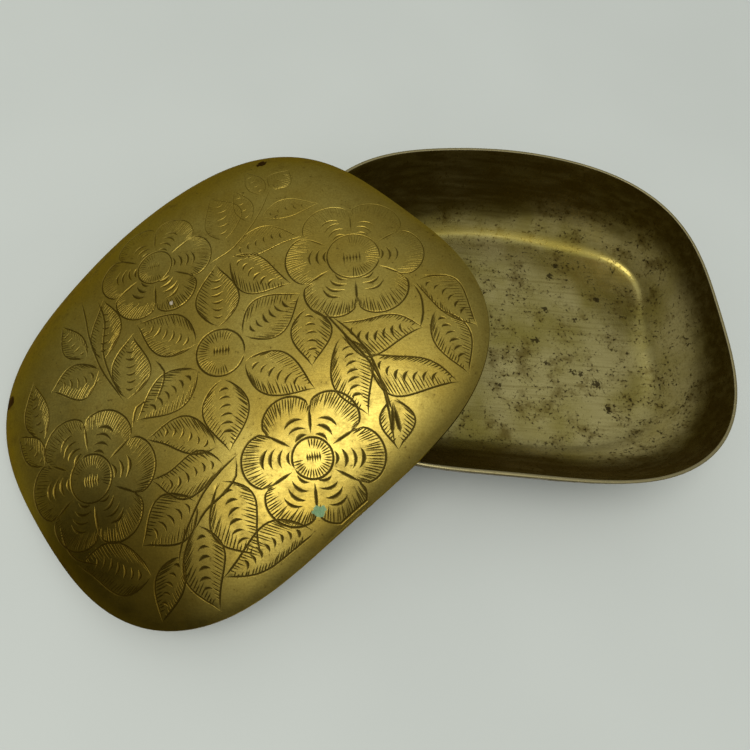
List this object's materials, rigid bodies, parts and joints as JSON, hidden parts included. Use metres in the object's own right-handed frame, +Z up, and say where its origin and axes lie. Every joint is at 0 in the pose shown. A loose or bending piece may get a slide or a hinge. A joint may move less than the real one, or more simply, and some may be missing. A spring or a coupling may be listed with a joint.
{
  "type": "vanity trinket box",
  "caption": "Oval-cornered brass vanity box: an open sloping-walled tray and a loose domed lid with engraved flowers, leaning open against the tray.",
  "frame": {"origin": "centre of the tray's flat base, on the surface that the box stands on", "axes": "+X along the tray's length and away from the leaning lid, +Y towards the tray's rounder long side, +Z up"},
  "size_m": [0.2024, 0.1447, 0.0449],
  "materials": {
    "tray_brass": "aged satin, stained",
    "lid_brass": "aged satin, engraved",
    "band_brass": "aged satin",
    "solder": "dull"
  },
  "bodies": {
    "tray": {"tray_shell": "tray_brass"},
    "lid": {"lid_plate": "lid_brass", "lid_locating_band": "band_brass", "lid_solder_seam": "solder"}
  },
  "joints": [
    {"name": "lid_lift", "type": "slide", "parent": "tray", "child": "lid", "axis": [0, 0, 1], "range_m": [0, 0.08]}
  ]
}
